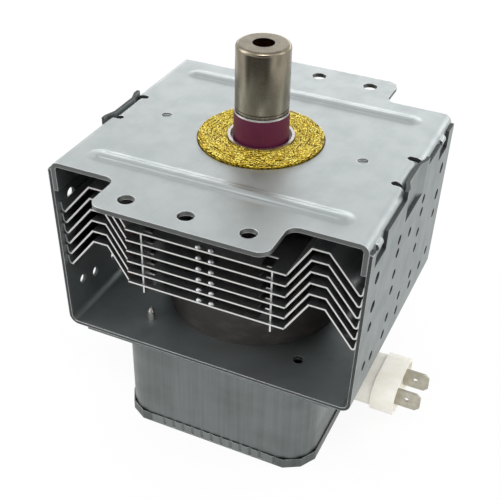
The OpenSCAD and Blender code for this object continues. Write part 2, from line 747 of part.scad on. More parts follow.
// Filament: a round wire wound in a helix between the end hats
module filament() {
    steps = 14;
    n = filament_turns * steps;
    h = 2 * hat_z - filament_wire - 2 * seat;
    color([0.35, 0.35, 0.36]) wire([for (i = [0:n]) let (a = 360 * i / steps)
        [filament_d / 2 * cos(a), filament_d / 2 * sin(a), z_mid - h / 2 + h * i / n]], filament_wire / 2);
}

module upper_hat() {
    color(dark_steel) translate([0, 0, z_mid + hat_z]) cylinder(d = hat_d, h = hat_t);
}
module lower_hat() {
    color(dark_steel)
        tube(hat_d / 2, cathode_lead_d / 2 + 0.4, z_mid - hat_z - hat_t, z_mid - hat_z);
}
module centre_lead() {
    color(dark_steel) translate([0, 0, z_stem_low])
        cylinder(d = cathode_lead_d, h = z_mid + hat_z - seat - z_stem_low, $fn = 32);
}
module side_lead() {
    color(dark_steel) translate([side_lead_x, 0, z_stem_low])
        cylinder(d = cathode_lead_d, h = z_mid - hat_z - hat_t - seat - z_stem_low, $fn = 32);
}

module stem_ceramic() {
    color([0.9, 0.88, 0.84]) difference() {
        translate([0, 0, z_stem_low]) cylinder(d = ceramic_d, h = stem_h - seat);
        for (x = [0, side_lead_x])
            translate([x, 0, z_stem_low - 1])
                cylinder(d = cathode_lead_d + 2 * seat, h = stem_h + 2, $fn = 32);
    }
}

// Terminal strips under the stem, one for each lead
module stem_strip(x0, x1) {
    color(steel) translate([x0, -2, z_stem_low - strip_t - seat]) cube([x1 - x0, 4, strip_t]);
}
module stem_strip_a() {
    stem_strip(-ceramic_d / 2 - 1, side_lead_x / 2 - 0.25);
}
module stem_strip_b() {
    stem_strip(side_lead_x / 2 + 0.25, ceramic_d / 2 + 1);
}

// Filter box: a drawn steel cup, open below, with a flange that lies under the yoke
module filter_box() {
    color(dark_steel) difference() {
        union() {
            translate([-box_flange_w / 2, -yoke_d / 2, z_box_in])
                cube([box_flange_w, yoke_d, box_t - seat]);
            translate([0, 0, z_box_low]) linear_extrude(z_yoke - seat - z_box_low)
                round_rect(box_w, box_d, box_r);
        }
        translate([0, 0, z_box_low - 1]) linear_extrude(z_box_in - z_box_low + 1)
            round_rect(box_w - 2 * box_t, box_d - 2 * box_t, box_r - box_t);
        translate([0, 0, z_box_in - 1]) cylinder(r = can_r + 2 * clear, h = box_t + 2);
        along_x(x_box - 2 * box_t, x_box + 1) translate([0, z_cap])
            stadium(neck_half, housing_h / 2 + seat);
        for (p = screw_at)
            translate([p[0], p[1], z_box_in - 1]) cylinder(d = screw_d + 2 * seat, h = box_t + 2);
        for (p = spare_at)
            translate([p[0], p[1], z_box_in - 1]) cylinder(d = spare_d, h = box_t + 2);
        for (s = [-1, 1])
            translate([x_box - 2 * box_t, s * rivet_pitch / 2, z_cap]) rotate([0, 90, 0])
                cylinder(d = rivet_d + 2 * seat, h = 3 * box_t, $fn = 32);
    }
}

// Outline of the lid about the box's corner arcs: three points to a corner
function lid_outline(r) = let (
    c = [box_w / 2 - box_r, box_d / 2 - box_r],
    corner = [for (a = [75, 45, 15]) c + r / cos(15) * [cos(a), sin(a)]])
    concat(corner, [for (p = reversed(corner)) [p[0], -p[1]]], [for (p = corner) -p],
        [for (p = reversed(corner)) [-p[0], p[1]]]);

// Lid: a folded tray, its rim slit at the corners and crimped on to the box in front and behind
module filter_lid() {
    r = box_r + lid_gap + lid_t;
    slit_x = box_w / 2 - box_r;
    groove_r = 1.5;
    n = floor((slit_x - crimp_pitch / 2) / crimp_pitch);
    color(dark_steel) translate([0, 0, z_lid]) difference() {
        linear_extrude(lid_rim) polygon(lid_outline(r));
        translate([0, 0, lid_t]) linear_extrude(lid_rim) polygon(lid_outline(r - lid_t));
        for (i = [-n:n], s = [-1, 1])
            translate([i * crimp_pitch, s * (lid_d + groove_r - crimp_h), lid_t])
                cylinder(r = groove_r, h = lid_rim);
        for (s = [-1, 1])
            translate([s * slit_x - slit_w / 2, -box_d, lid_t]) cube([slit_w, 2 * box_d, lid_rim]);
    }
}

// Pointed screws up through the box flange and the yoke's floor; their heads are inside the box
module box_screws() {
    r = screw_d / 2;
    top = z_floor + screw_tip;
    color(steel) for (p = screw_at)
        translate([p[0], p[1], 0]) rotate_extrude() polygon([
            [0, z_box_in - 1.7], [2 * r, z_box_in - 1.7], [2 * r, z_box_in - seat], [r, z_box_in - seat],
            [r, top - 1.9], [0.75 * r, top - 1.75], [0.75 * r, top - 1.45], [0.92 * r, top - 1.3],
            [0.35 * r, top - 0.1], [0, top]]);
}

// Choke: a coil wound along X, with one end led to a stem strip and the other to a through rod
module choke_coil(s) {
    steps = 14;
    r = core_d / 2 + clear + choke_wire / 2;
    y = -choke_pitch / 2;
    x0 = choke_x + s * choke_l / 2;
    n = round((choke_turns - 0.5) * steps);
    z_end = z_stem_low - strip_t - seat - choke_wire / 2 - 0.1;
    y_lead = y + r + choke_wire + 1.4;
    y_rod = -(tab_pitch / 2 + rod_d / 2 + choke_wire / 2 + 0.1);
    coil = [for (i = [0:n]) let (a = 90 + 360 * i / steps)
        [x0 - s * choke_l * i / n, y + r * cos(a), z_choke + r * sin(a)]];
    path = concat([[s * ceramic_d / 2, -1, z_end], [x0 + s * 0.3, y + r, z_choke + r + 0.3]], coil, [
        [x0 - s * (choke_l + 0.6), y_lead, z_choke - r],
        [choke_x + choke_l / 2 + 2.5, y_lead, z_cap - 1],
        [x_rod + 1.2, y_rod, z_cap]]);
    color([0.6, 0.32, 0.16]) mirror([0, s < 0 ? 0 : 1, 0]) wire(path, choke_wire / 2);
}
module choke_core(s) {
    h = choke_l + 2 * core_over;
    color(ferrite) translate([choke_x - h / 2, s * choke_pitch / 2, z_choke]) rotate([0, 90, 0])
        cylinder(d = core_d, h = h);
}

// Capacitor: flange and rivets on the box, housing outside, case and ceramic block inside
module cap_flange() {
    color(steel) difference() {
        along_x(x_box + seat, x_box + cap_flange_t) translate([0, z_cap]) {
            stadium(neck_half, housing_h / 2 + 1.5);
            stadium(rivet_pitch / 2, 1.2 * rivet_d);
        }
        along_x(x_box - 1, x_box + 2 * cap_flange_t) translate([0, z_cap])
            stadium(neck_half, housing_h / 2 + seat);
        for (s = [-1, 1])
            translate([x_box - 1, s * rivet_pitch / 2, z_cap]) rotate([0, 90, 0])
                cylinder(d = rivet_d + 2 * seat, h = 3 * cap_flange_t + 1, $fn = 32);
    }
}
module cap_rivets() {
    head = 0.42 * rivet_d;
    color(steel) for (s = [-1, 1])
        translate([0, s * rivet_pitch / 2, z_cap]) rotate([0, 90, 0]) {
            translate([0, 0, x_box - box_t - head])
                cylinder(d = rivet_d, h = cap_flange_t + box_t + 2 * head, $fn = 32);
            translate([0, 0, x_box + cap_flange_t + seat]) cylinder(d = 1.8 * rivet_d, h = head, $fn = 32);
            translate([0, 0, x_box - box_t - head - seat]) cylinder(d = 1.6 * rivet_d, h = head, $fn = 32);
        }
}

// Cuts for the two through conductors: a round way for the rod and a slot for the blade
module conductor_ways(gap) {
    for (s = [-1, 1]) {
        translate([0, s * tab_pitch / 2, z_cap]) rotate([0, 90, 0])
            translate([0, 0, x_rod - 1]) cylinder(d = rod_d + 2 * gap, h = x_neck - x_rod + 2, $fn = 32);
        translate([x_neck - gap, s * tab_pitch / 2 - blade_t / 2 - gap, z_cap - blade_w / 2 - gap])
            cube([collar_l + 10, blade_t + 2 * gap, blade_w + 2 * gap]);
    }
}

module cap_housing() {
    color([0.92, 0.9, 0.85]) difference() {
        union() {
            along_x(x_case + seat, x_neck + eps) translate([0, z_cap]) stadium(neck_half, housing_h / 2);
            along_x(x_neck, x_end) translate([0, z_cap]) stadium(neck_half, (housing_h + collar_h) / 2);
        }
        along_x(x_end - recess_h, x_end + 1) translate([0, z_cap])
            stadium(neck_half, (housing_h + collar_h) / 2 - 1);
        conductor_ways(seat);
    }
}

module cap_case() {
    color([0.2, 0.2, 0.22]) difference() {
        along_x(x_case - case_l, x_case) translate([0, z_cap]) stadium(neck_half, housing_h / 2 + 1.2);
        along_x(x_case - case_l + case_wall, x_case + 1) translate([0, z_cap])
            stadium(neck_half, housing_h / 2 + 1.2 - case_wall);
        conductor_ways(seat);
    }
}

module cap_block() {
    color([0.85, 0.8, 0.7]) difference() {
        along_x(x_case - case_l + case_wall + seat, x_case - seat) translate([0, z_cap])
            stadium(neck_half, housing_h / 2 + 1.2 - case_wall - seat);
        conductor_ways(seat);
    }
}

// Through conductor: a round rod inside, and a flat tab with cut corners outside
module terminal(s) {
    c = 1.3;
    x1 = x_end + blade_l;
    color([0.66, 0.66, 0.6]) translate([0, s * tab_pitch / 2, z_cap]) difference() {
        union() {
            rotate([0, 90, 0]) translate([0, 0, x_rod])
                cylinder(d = rod_d, h = x_neck - x_rod + eps, $fn = 32);
            along_y(blade_t) polygon([
                [x_neck, -blade_w / 2], [x1 - c, -blade_w / 2], [x1, -blade_w / 2 + c],
                [x1, blade_w / 2 - c],
                [x1 - c, blade_w / 2], [x_neck, blade_w / 2]]);
        }
        translate([x_end + blade_l * 0.4, 0, 0]) rotate([90, 0, 0])
            cylinder(d = blade_hole_d, h = 4 * blade_t, center = true, $fn = 32);
    }
}

mounting_plate();
yoke();
rf_gasket();
antenna_cap();
seal_cup();
exhaust_tube();
antenna_ceramic();
antenna_lead();
upper_can();
lower_can();
magnet(z_top);  // upper_magnet
magnet(z_floor);  // lower_magnet
fin(0);  // fin_1
fin(1);  // fin_2
fin(2);  // fin_3
fin(3);  // fin_4
fin(4);  // fin_5
fin(5);  // fin_6
anode_cylinder();
vane(0);  // vane_1
vane(1);  // vane_2
vane(2);  // vane_3
vane(3);  // vane_4
vane(4);  // vane_5
vane(5);  // vane_6
vane(6);  // vane_7
vane(7);  // vane_8
vane(8);  // vane_9
vane(9);  // vane_10
strap(0, 1);  // strap_top_inner
strap(1, 1);  // strap_top_outer
strap(0, 0);  // strap_bottom_inner
strap(1, 0);  // strap_bottom_outer
upper_pole();
lower_pole();
filament();
upper_hat();
lower_hat();
centre_lead();
side_lead();
stem_ceramic();
stem_strip_a();
stem_strip_b();
filter_box();
filter_lid();
box_screws();
choke_coil(-1);  // choke_coil_a
choke_coil(1);  // choke_coil_b
choke_core(-1);  // choke_core_a
choke_core(1);  // choke_core_b
cap_flange();
cap_rivets();
cap_housing();
cap_case();
cap_block();
terminal(-1);  // tab_front
terminal(1);  // tab_back
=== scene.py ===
# %% [markdown]
# # A microwave oven's magnetron
# The solids of the part come ready made, in metres, with the origin on the antenna's axis at the
# mounting plate's top face. This lesson dresses them: it gives each metal, ceramic and plastic its
# own finish, adds the fine work that the solids leave out, and lights the part in a small studio.
# The box of the bare solids is kept, because the dressed part may not grow out of it.

# %% Load the solids
import math

import bpy
import numpy as np
from mathutils import Matrix, Vector


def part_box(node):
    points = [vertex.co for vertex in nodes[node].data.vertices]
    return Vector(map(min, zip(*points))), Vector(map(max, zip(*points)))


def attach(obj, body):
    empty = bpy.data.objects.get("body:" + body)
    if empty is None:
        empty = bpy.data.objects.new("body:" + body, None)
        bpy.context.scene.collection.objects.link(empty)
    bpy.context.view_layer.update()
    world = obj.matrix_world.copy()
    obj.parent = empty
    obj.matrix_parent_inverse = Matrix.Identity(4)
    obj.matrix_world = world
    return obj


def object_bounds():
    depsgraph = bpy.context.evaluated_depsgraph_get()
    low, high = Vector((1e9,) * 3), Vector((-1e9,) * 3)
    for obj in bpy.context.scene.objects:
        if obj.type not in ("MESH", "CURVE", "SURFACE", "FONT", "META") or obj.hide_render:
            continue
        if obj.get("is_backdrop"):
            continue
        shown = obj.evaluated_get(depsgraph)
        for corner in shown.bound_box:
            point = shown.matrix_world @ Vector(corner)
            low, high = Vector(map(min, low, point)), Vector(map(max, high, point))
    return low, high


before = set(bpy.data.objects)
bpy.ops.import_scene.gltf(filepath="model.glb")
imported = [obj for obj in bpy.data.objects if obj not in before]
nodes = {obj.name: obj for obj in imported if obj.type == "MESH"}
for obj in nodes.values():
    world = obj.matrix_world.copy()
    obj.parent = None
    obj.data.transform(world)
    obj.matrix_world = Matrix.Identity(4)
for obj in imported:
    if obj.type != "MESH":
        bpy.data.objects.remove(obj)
cad_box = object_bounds()
print("solids:", len(nodes), "box in mm:", [round(1000 * v, 1) for c in cad_box for v in c])

# %% [markdown]
# ## The camera
# The photograph looks down on the front corner of the part. A camera could be aimed by eye, but the
# part's straight edges fix it: lines that are parallel on the real plate meet at known points in
# the picture. The numbers below come from that fit, and the small roll is the photographer's.

# %% Camera
azimuth, elevation, roll = (math.radians(v) for v in (23.941, 35.306, 1.295))
camera_at = (0.0924025, -0.2140497, 0.1260261)
right = Vector((math.cos(azimuth), math.sin(azimuth), 0))
back = Vector((math.sin(azimuth) * math.cos(elevation), -math.cos(azimuth) * math.cos(elevation),
               math.sin(elevation)))
up = back.cross(right)
level_right = math.cos(roll) * right + math.sin(roll) * up
level_up = math.cos(roll) * up - math.sin(roll) * right
lens = bpy.data.cameras.new("lens")
lens.sensor_width = 36
lens.lens = 67.25
lens.clip_start = 0.01
camera = bpy.data.objects.new("camera", lens)
bpy.context.scene.collection.objects.link(camera)
camera.matrix_world = (Matrix.Translation(camera_at)
                       @ Matrix((level_right, level_up, back)).transposed().to_4x4())
bpy.context.scene.camera = camera
print("camera at", [round(v, 4) for v in camera.location], "lens", lens.lens)

# %% [markdown]
# ## Sums on sockets
# A finish is a tree of nodes, and most of its nodes do plain sums. Wiring sums by hand hides what
# they mean, so the class Wire stands for a socket and lets Python's own operators add the Math
# nodes. Every other node is made by one method of Tree, which takes the node's kind, its settings
# and what goes into its sockets. Finish is a tree with a material's shader and the helpers that
# several finishes share. Places are measured in millimetres on the part.

# %% Wire, Tree and Finish
class Wire:
    """One output socket of a node tree. Sums on it add Math nodes."""

    def __init__(self, tree, socket):
        self.tree, self.socket = tree, socket

    def math(self, operation, a, b):
        return self.tree.node("ShaderNodeMath", {"operation": operation}, {0: a, 1: b})

    def __add__(self, other):
        return self.math("ADD", self, other)

    def __radd__(self, other):
        return self.math("ADD", other, self)

    def __sub__(self, other):
        return self.math("SUBTRACT", self, other)

    def __rsub__(self, other):
        return self.math("SUBTRACT", other, self)

    def __mul__(self, other):
        return self.math("MULTIPLY", self, other)

    def __rmul__(self, other):
        return self.math("MULTIPLY", other, self)

    def __abs__(self):
        return self.tree.node("ShaderNodeMath", {"operation": "ABSOLUTE"}, {0: self})

    def above(self, low, high):
        """0 below low, 1 above high, and a smooth step between them."""
        return self.tree.node("ShaderNodeMapRange", {"interpolation_type": "SMOOTHSTEP"},
                              {0: self, 1: low, 2: high})

    def twin(self, name):
        """Another output of the same node."""
        return Wire(self.tree, self.socket.node.outputs[name])


class Tree:
    """A node tree, and the one method that adds a node to it."""

    def __init__(self, tree):
        self.tree = tree

    def node(self, kind, settings=None, sockets=None, out=0):
        made = self.tree.nodes.new(kind)
        for name, value in (settings or {}).items():
            setattr(made, name, value)
        for name, value in (sockets or {}).items():
            self.feed(made.inputs[name], value)
        return Wire(self, made.outputs[out])

    def feed(self, socket, value):
        if isinstance(value, Wire):
            self.tree.links.new(value.socket, socket)
        else:
            socket.default_value = value

    def shown(self):
        """1 for rays from the lens, in reflections and through clear things, 0 for light."""
        lens_ray = self.node("ShaderNodeLightPath", out="Is Camera Ray")
        return lens_ray + lens_ray.twin("Is Glossy Ray") + lens_ray.twin("Is Transmission Ray")


class Finish(Tree):
    """A material in the making, with its Principled shader."""

    def __init__(self, name):
        self.material = bpy.data.materials.new(name)
        self.material.use_nodes = True
        super().__init__(self.material.node_tree)
        self.shader = self.tree.nodes["Principled BSDF"]
        self.place = self.node("ShaderNodeTexCoord", out="Object")
        self.true_normal = self.node("ShaderNodeNewGeometry", out="Normal")

    def stretched(self, x, y, z):
        """The place on the part, in steps of x, y and z millimetres."""
        return self.node("ShaderNodeVectorMath", {"operation": "MULTIPLY"},
                         {0: self.place, 1: (1000 / x, 1000 / y, 1000 / z)})

    def axis(self, name):
        """One coordinate of the place, in millimetres."""
        return self.node("ShaderNodeSeparateXYZ", {}, {0: self.place}, out=name) * 1000

    def facing(self, name):
        """How squarely a face looks along an axis: 1 along it, -1 against it."""
        return self.node("ShaderNodeSeparateXYZ", {}, {0: self.true_normal}, out=name)

    def noise(self, vector, detail):
        """Soft random values about 0.5, with so many finer layers on top."""
        return self.node("ShaderNodeTexNoise", {}, {"Vector": vector, "Scale": 1.0,
                                                    "Detail": detail, "Roughness": 0.55})

    def tint(self, share, a, b):
        """A colour between a and b."""
        return self.node("ShaderNodeMix", {"data_type": "RGBA"}, {0: share, 6: a, 7: b}, out=2)

    def broken_edge(self, width):
        """The normal with sharp edges rounded over, and a mask of those edges."""
        rounded = self.node("ShaderNodeBevel", {"samples": 6}, {"Radius": width / 1000})
        agree = self.node("ShaderNodeVectorMath", {"operation": "DOT_PRODUCT"},
                          {0: rounded, 1: self.true_normal}, out="Value")
        return rounded, (1 - agree).above(0.01, 0.12)

    def bump(self, height, depth, under=None):
        """Relief of so many millimetres, on a rounded normal if there is one."""
        sockets = {"Strength": 1.0, "Distance": depth / 1000, "Height": height}
        if under:
            sockets["Normal"] = under
        return self.node("ShaderNodeBump", {}, sockets)

    def look(self, **sockets):
        """Sets the shader's sockets: base_color feeds Base Color, and so on."""
        for name, value in sockets.items():
            title = name.replace("_", " ").title().replace("Ior", "IOR")
            self.feed(self.shader.inputs[title], value)
        return self.material


def rgb(r, g, b):
    """A colour given as it looks on a screen, 0 to 255, turned into light."""
    return tuple(((v / 255 + 0.055) / 1.055) ** 2.4 for v in (r, g, b)) + (1,)


print("a mid grey is", [round(v, 3) for v in rgb(188, 188, 188)])

# %% [markdown]
# ## Zinc plate
# The mounting plate and the yoke are cold-rolled steel with a thin bright zinc coat. The coat shows
# faint cloudy patches, and under them the fine lines of the rolled sheet. A picture of zinc would
# be the quick way. Noise does it here: one slow cloud for the patches, and one noise that is
# stretched along the rolling direction for the lines. Both touch the roughness more than the
# colour, because that is how metal shows them. Where the sheet was cut after plating, its bare
# steel edge is darker. Corners get a pale colour as a painted highlight, so the finish asks which
# faces are cuts and finds the corners with a Bevel node. That rounds the light on an edge without
# changing the mesh.

# %% Zinc finish
def zinc(name, colour, cloud_colour, cut_colour, rolled, roughness, cut_faces, highlit_part):
    f = Finish(name)
    cloud = f.noise(f.stretched(9, 9, 9), 4)
    lines = f.noise(f.stretched(*rolled), 2)
    specks = f.noise(f.stretched(0.5, 0.5, 0.5), 2).above(0.62, 0.75)
    patch = cloud.above(0.35, 0.7)
    cut = cut_faces(f)
    rounded, edge = f.broken_edge(0.3)
    # Painted highlight: the corners found here are tinted toward the pale zinc set below.
    edge_highlight = edge * highlit_part(f)
    coat = f.tint(patch * 0.6 + lines * 0.3, colour, cloud_colour)
    return f.look(
        base_color=f.tint(edge_highlight * 0.85, f.tint(cut, coat, cut_colour), rgb(228, 231, 231)),
        metallic=1.0,
        roughness=(roughness - 0.06 + patch * 0.08 + lines * 0.1 + specks * 0.1
                   + cut * 0.1 - edge_highlight * 0.1),
        normal=f.bump(lines * 0.7 + cloud * 0.3 + specks * 0.15, 0.01, rounded))


def plate_cuts(f):
    """Upright faces of the flat plate, and the ends of its bends."""
    upright = 1 - abs(f.facing("Z")).above(0.15, 0.4)
    flat_half = 42
    on_flat = 1 - abs(f.axis("X")).above(flat_half - 0.2, flat_half + 0.2)
    ends = abs(f.facing("Y")).above(0.6, 0.8)
    return ends + upright * on_flat * (1 - ends)


def yoke_cuts(f):
    """Front and back edges of the folded sheet, and the insides of the holes in its walls."""
    ends = abs(f.facing("Y")).above(0.6, 0.8)
    wall_x = 43
    holes = (1 - abs(f.facing("X")).above(0.3, 0.5)) * abs(f.axis("X")).above(wall_x, wall_x + 1)
    return ends + holes * (1 - ends)


def everywhere(f):
    """All corners of the plate get the painted highlight."""
    return 1.0


def yoke_rim_highlight(f):
    """The front and back of the yoke, whose corners get the painted highlight."""
    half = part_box("yoke")[1].y * 1000
    return abs(f.axis("Y")).above(half - 1.2, half - 0.8)


plate_zinc = zinc("plate_zinc", rgb(184, 190, 190), rgb(172, 178, 179), rgb(120, 123, 121),
                  (0.35, 14, 14), 0.4, plate_cuts, everywhere)
yoke_zinc = zinc("yoke_zinc", rgb(150, 156, 156), rgb(138, 144, 144), rgb(88, 92, 90),
                 (14, 0.35, 14), 0.5, yoke_cuts, yoke_rim_highlight)
print("zinc finishes:", plate_zinc.name, yoke_zinc.name)

# %% [markdown]
# ## Drawn steel of the filter box
# The box is deep drawn from zinc-coated sheet. The die scores it from top to bottom, so its walls
# carry upright streaks. Its colour is set darker than the plate's zinc as painted shade, and the
# lid's darker still. Stretched noise makes the streaks, as it makes the rolling lines. The lid is
# folded from the same sheet, and its rim is pressed in at even steps. The corners get a pale colour
# as a painted highlight, and so do the ridges left between those crimps. The ridges' place is read
# from the solid: they lie as far out as the lid's own box.

# %% Drawn steel finish
def drawn_steel(name, colour, streak_colour, highlight_colour, painted_ridges):
    f = Finish(name)
    streak = f.noise(f.stretched(1.2, 1.2, 45), 3).above(0.35, 0.75)
    fine = f.noise(f.stretched(0.3, 0.3, 12), 2)
    cloud = f.noise(f.stretched(20, 20, 12), 4).above(0.35, 0.65)
    rounded, edge_highlight = f.broken_edge(0.18)
    skin = f.tint(streak * 0.35 + cloud * 0.45 + fine * 0.2, colour, streak_colour)
    # Painted highlight: the corners and the lid's ridges are tinted toward a pale zinc.
    return f.look(
        base_color=f.tint(edge_highlight * 0.6 + painted_ridges(f) * (1 - edge_highlight * 0.6), skin, highlight_colour),
        metallic=1.0,
        roughness=0.33 + streak * 0.05 + fine * 0.08 + cloud * 0.06,
        normal=f.bump(fine * 0.6 + streak * 0.3, 0.006, rounded))


def lid_ridge_highlight(f):
    """The front and back rim's ridges, which stand proud of the crimps between them and get a
    painted highlight.
    """
    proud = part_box("filter_lid")[1].y * 1000
    crimped_half, highlight_share = 20.5, 0.16
    ridge = abs(f.axis("Y")).above(proud - 0.3, proud - 0.02)
    return ridge * (1 - abs(f.axis("X")).above(crimped_half, crimped_half + 0.5)) * highlight_share


def nowhere(f):
    """The box has no ridges to highlight."""
    return 0.0


# Painted shade: the box's and the lid's colours are darker than the zinc sheet they are drawn from,
# the lid's darkest.
box_steel = drawn_steel("box_steel", rgb(120, 126, 125), rgb(101, 106, 105), rgb(206, 211, 210),
                        nowhere)
shaded_lid_steel = drawn_steel("shaded_lid_steel", rgb(104, 109, 108), rgb(84, 88, 87), rgb(200, 205, 204),
                        lid_ridge_highlight)
print("drawn steel finishes:", box_steel.name, shaded_lid_steel.name)

# %% [markdown]
# ## Nickel of the antenna cap
# The cap is a drawn cup, nickel plated and turned in a polishing lathe, so its scratches run round
# it. Seen from the side they spread each highlight up and down. Fine noise on height alone gives
# the rings, and an upright cloud of stains tones them down in places. Anisotropic gloss alone would
# spread the light too, but it shows no single scratch.

# %% Nickel finish
def turned_nickel(name, colour, shade, roughness):
    f = Finish(name)
    rings = f.noise(f.stretched(8, 8, 0.09), 3)
    wide = f.noise(f.stretched(30, 30, 0.8), 2)
    cloud = f.noise(f.stretched(3, 3, 9), 3).above(0.35, 0.65)
    return f.look(
        base_color=f.tint(rings * 0.4 + cloud * 0.6, colour, shade),
        metallic=1.0,
        roughness=roughness + rings * 0.1 + cloud * 0.06,
        anisotropic=0.4,
        normal=f.bump(rings * 0.7 + wide * 0.5, 0.008))


# Painted shade: the cap's colour is darker than bright nickel, and darker than the seal's.
shaded_cap_nickel = turned_nickel("shaded_cap_nickel", rgb(148, 140, 124), rgb(116, 108, 93), 0.16)
seal_nickel = turned_nickel("seal_nickel", rgb(214, 208, 204), rgb(196, 190, 188), 0.2)
print("nickel finishes:", shaded_cap_nickel.name, seal_nickel.name)

# %% [markdown]
# ## Ceramics
# The antenna's insulator is alumina, coloured purple by chromium oxide and left unglazed, so it is
# matte with a fine dry grain. Grain that fine could be a picture, but a small noise in the bump and
# the colour stays sharp at any distance. The stem's and the capacitor's ceramics are white.

# %% Ceramic finish
def bare_ceramic(name, colour, shade, roughness):
    f = Finish(name)
    grain = f.noise(f.stretched(0.25, 0.25, 0.25), 3)
    cloud = f.noise(f.stretched(3, 3, 5), 3)
    return f.look(
        base_color=f.tint(grain * 0.4 + cloud * 0.6, colour, shade),
        roughness=roughness + grain * 0.15,
        specular_ior_level=0.3,
        normal=f.bump(grain, 0.02))


purple_ceramic = bare_ceramic("purple_ceramic", rgb(94, 28, 58), rgb(72, 16, 42), 0.46)
white_ceramic = bare_ceramic("white_ceramic", rgb(232, 228, 220), rgb(214, 208, 198), 0.5)
print("ceramics:", purple_ceramic.name, white_ceramic.name)

# %% [markdown]
# ## Ferrite
# The ring magnets are pressed and sintered ferrite, ground flat on both faces. It is almost black,
# a little brown, dull, and pitted where grains have broken out of it. Noise alone looks too even
# for that, so the pits are the middles of a Voronoi pattern's cells.

# %% Ferrite finish
def sintered_ferrite():
    f = Finish("sintered_ferrite")
    grain = f.noise(f.stretched(0.4, 0.4, 0.4), 3)
    pits = f.node("ShaderNodeTexVoronoi", {}, {"Vector": f.stretched(1.3, 1.3, 1.3), "Scale": 1.0})
    pit = 1 - pits.above(0.08, 0.22)
    dust = f.noise(f.stretched(6, 6, 3), 4).above(0.45, 0.75)
    return f.look(
        base_color=f.tint(dust * 0.6 + grain * 0.2, rgb(44, 41, 40), rgb(74, 68, 64)),
        roughness=0.5 + grain * 0.2 + pit * 0.1,
        normal=f.bump(grain * 0.4 - pit, 0.05))


ferrite = sintered_ferrite()
print("ferrite:", ferrite.name)

# %% [markdown]
# ## Aluminium fins
# The fins are stamped from soft aluminium strip. The strip's rolling lines run from side to side,
# and handling leaves short scratches across them. Their front and back ends get a pale colour as a
# painted highlight, which gives the thin bright lines seen from there. They are picked by the way
# that a face looks.

# %% Aluminium finish
def rolled_aluminium():
    f = Finish("rolled_aluminium")
    lines = f.noise(f.stretched(16, 0.25, 16), 2)
    cloud = f.noise(f.stretched(7, 7, 7), 3)
    rub = f.noise(f.stretched(0.4, 6, 6), 2).above(0.62, 0.8)
    # Painted highlight: the front and back ends are tinted pale.
    end_highlight = abs(f.facing("Y")).above(0.7, 0.9)
    face = f.tint(lines * 0.5 + cloud * 0.5, rgb(200, 201, 202), rgb(178, 180, 182))
    return f.look(
        base_color=f.tint(end_highlight, face, rgb(224, 224, 222)),
        metallic=1.0,
        roughness=0.26 + lines * 0.12 + cloud * 0.1 + rub * 0.1,
        normal=f.bump(lines * 0.8 - rub * 0.4, 0.01))


fin_aluminium = rolled_aluminium()
print("fins:", fin_aluminium.name)

# %% [markdown]
# ## Copper, wire and the metals of the cathode
# The anode, its vanes and straps, the antenna lead and the pinched tube are oxygen-free copper. The
# chokes are copper wire in brown enamel. The cathode is tungsten, molybdenum and iron. Most of this
# is hidden, but a part can be opened, so each gets a finish of its own. One function serves them
# all, because they differ only in colour, gloss and the shape of their grain.

# %% Copper and other inner metals
def plain_metal(name, colour, shade, roughness, grain_mm, coat=0.0):
    f = Finish(name)
    cloud = f.noise(f.stretched(2.5, 2.5, 2.5), 4)
    grain = f.noise(f.stretched(*grain_mm), 2)
    return f.look(
        base_color=f.tint(cloud.above(0.3, 0.7) * 0.7 + grain * 0.3, colour, shade),
        metallic=1.0,
        roughness=roughness + cloud * 0.12 + grain * 0.06,
        coat_weight=coat,
        normal=f.bump(grain * 0.6 + cloud * 0.4, 0.01))


copper = plain_metal("copper", rgb(206, 128, 96), rgb(166, 92, 66), 0.28, (0.3, 0.3, 4))
enamelled_wire = plain_metal("enamelled_wire", rgb(168, 84, 44), rgb(128, 58, 30), 0.22,
                             (0.6, 0.6, 0.6), coat=0.6)
pole_iron = plain_metal("pole_iron", rgb(176, 177, 178), rgb(150, 152, 154), 0.34, (0.3, 0.3, 0.3))
cathode_metal = plain_metal("cathode_metal", rgb(128, 128, 130), rgb(98, 98, 102), 0.4,
                            (0.2, 0.2, 0.6))
bright_steel = plain_metal("bright_steel", rgb(206, 205, 198), rgb(180, 180, 174), 0.24,
                           (0.25, 0.25, 1.5))
tinned_brass = plain_metal("tinned_brass", rgb(196, 192, 178), rgb(164, 160, 146), 0.3,
                           (3, 0.2, 0.2))
print("inner metals:", copper.name, enamelled_wire.name, pole_iron.name, cathode_metal.name)

# %% [markdown]
# ## Plastics of the capacitor
# The housing is cream polyester with glass fibre, moulded with a faintly wavy, silky skin. The case
# inside the box is dark resin. A moulded skin is never quite flat, so a small even noise lifts it
# by a few hundredths of a millimetre, which breaks up the gloss.

# %% Moulded plastic finish
def moulded(name, colour, shade, roughness, depth):
    f = Finish(name)
    orange_peel = f.noise(f.stretched(0.5, 0.5, 0.5), 2)
    flow = f.noise(f.stretched(7, 4, 4), 3)
    return f.look(
        base_color=f.tint(flow.above(0.35, 0.7), colour, shade),
        roughness=roughness + orange_peel * 0.12,
        specular_ior_level=0.45,
        normal=f.bump(orange_peel, depth))


cream_plastic = moulded("cream_plastic", rgb(244, 241, 232), rgb(236, 232, 219), 0.36, 0.02)
dark_resin = moulded("dark_resin", rgb(50, 50, 54), rgb(38, 38, 42), 0.5, 0.03)
print("plastics:", cream_plastic.name, dark_resin.name)

# %% [markdown]
# ## Brass of the gasket
# The gasket is a sleeve of knitted brass wire, pressed flat into a ring. Under its top layer of
# loops lie more layers, half in shadow, so the ring below gets a dark, lumpy brass and the loops
# that catch the light are made as wire further on. Each bit of wire glints or not by how it lies,
# and a noise of half a millimetre stands for that.

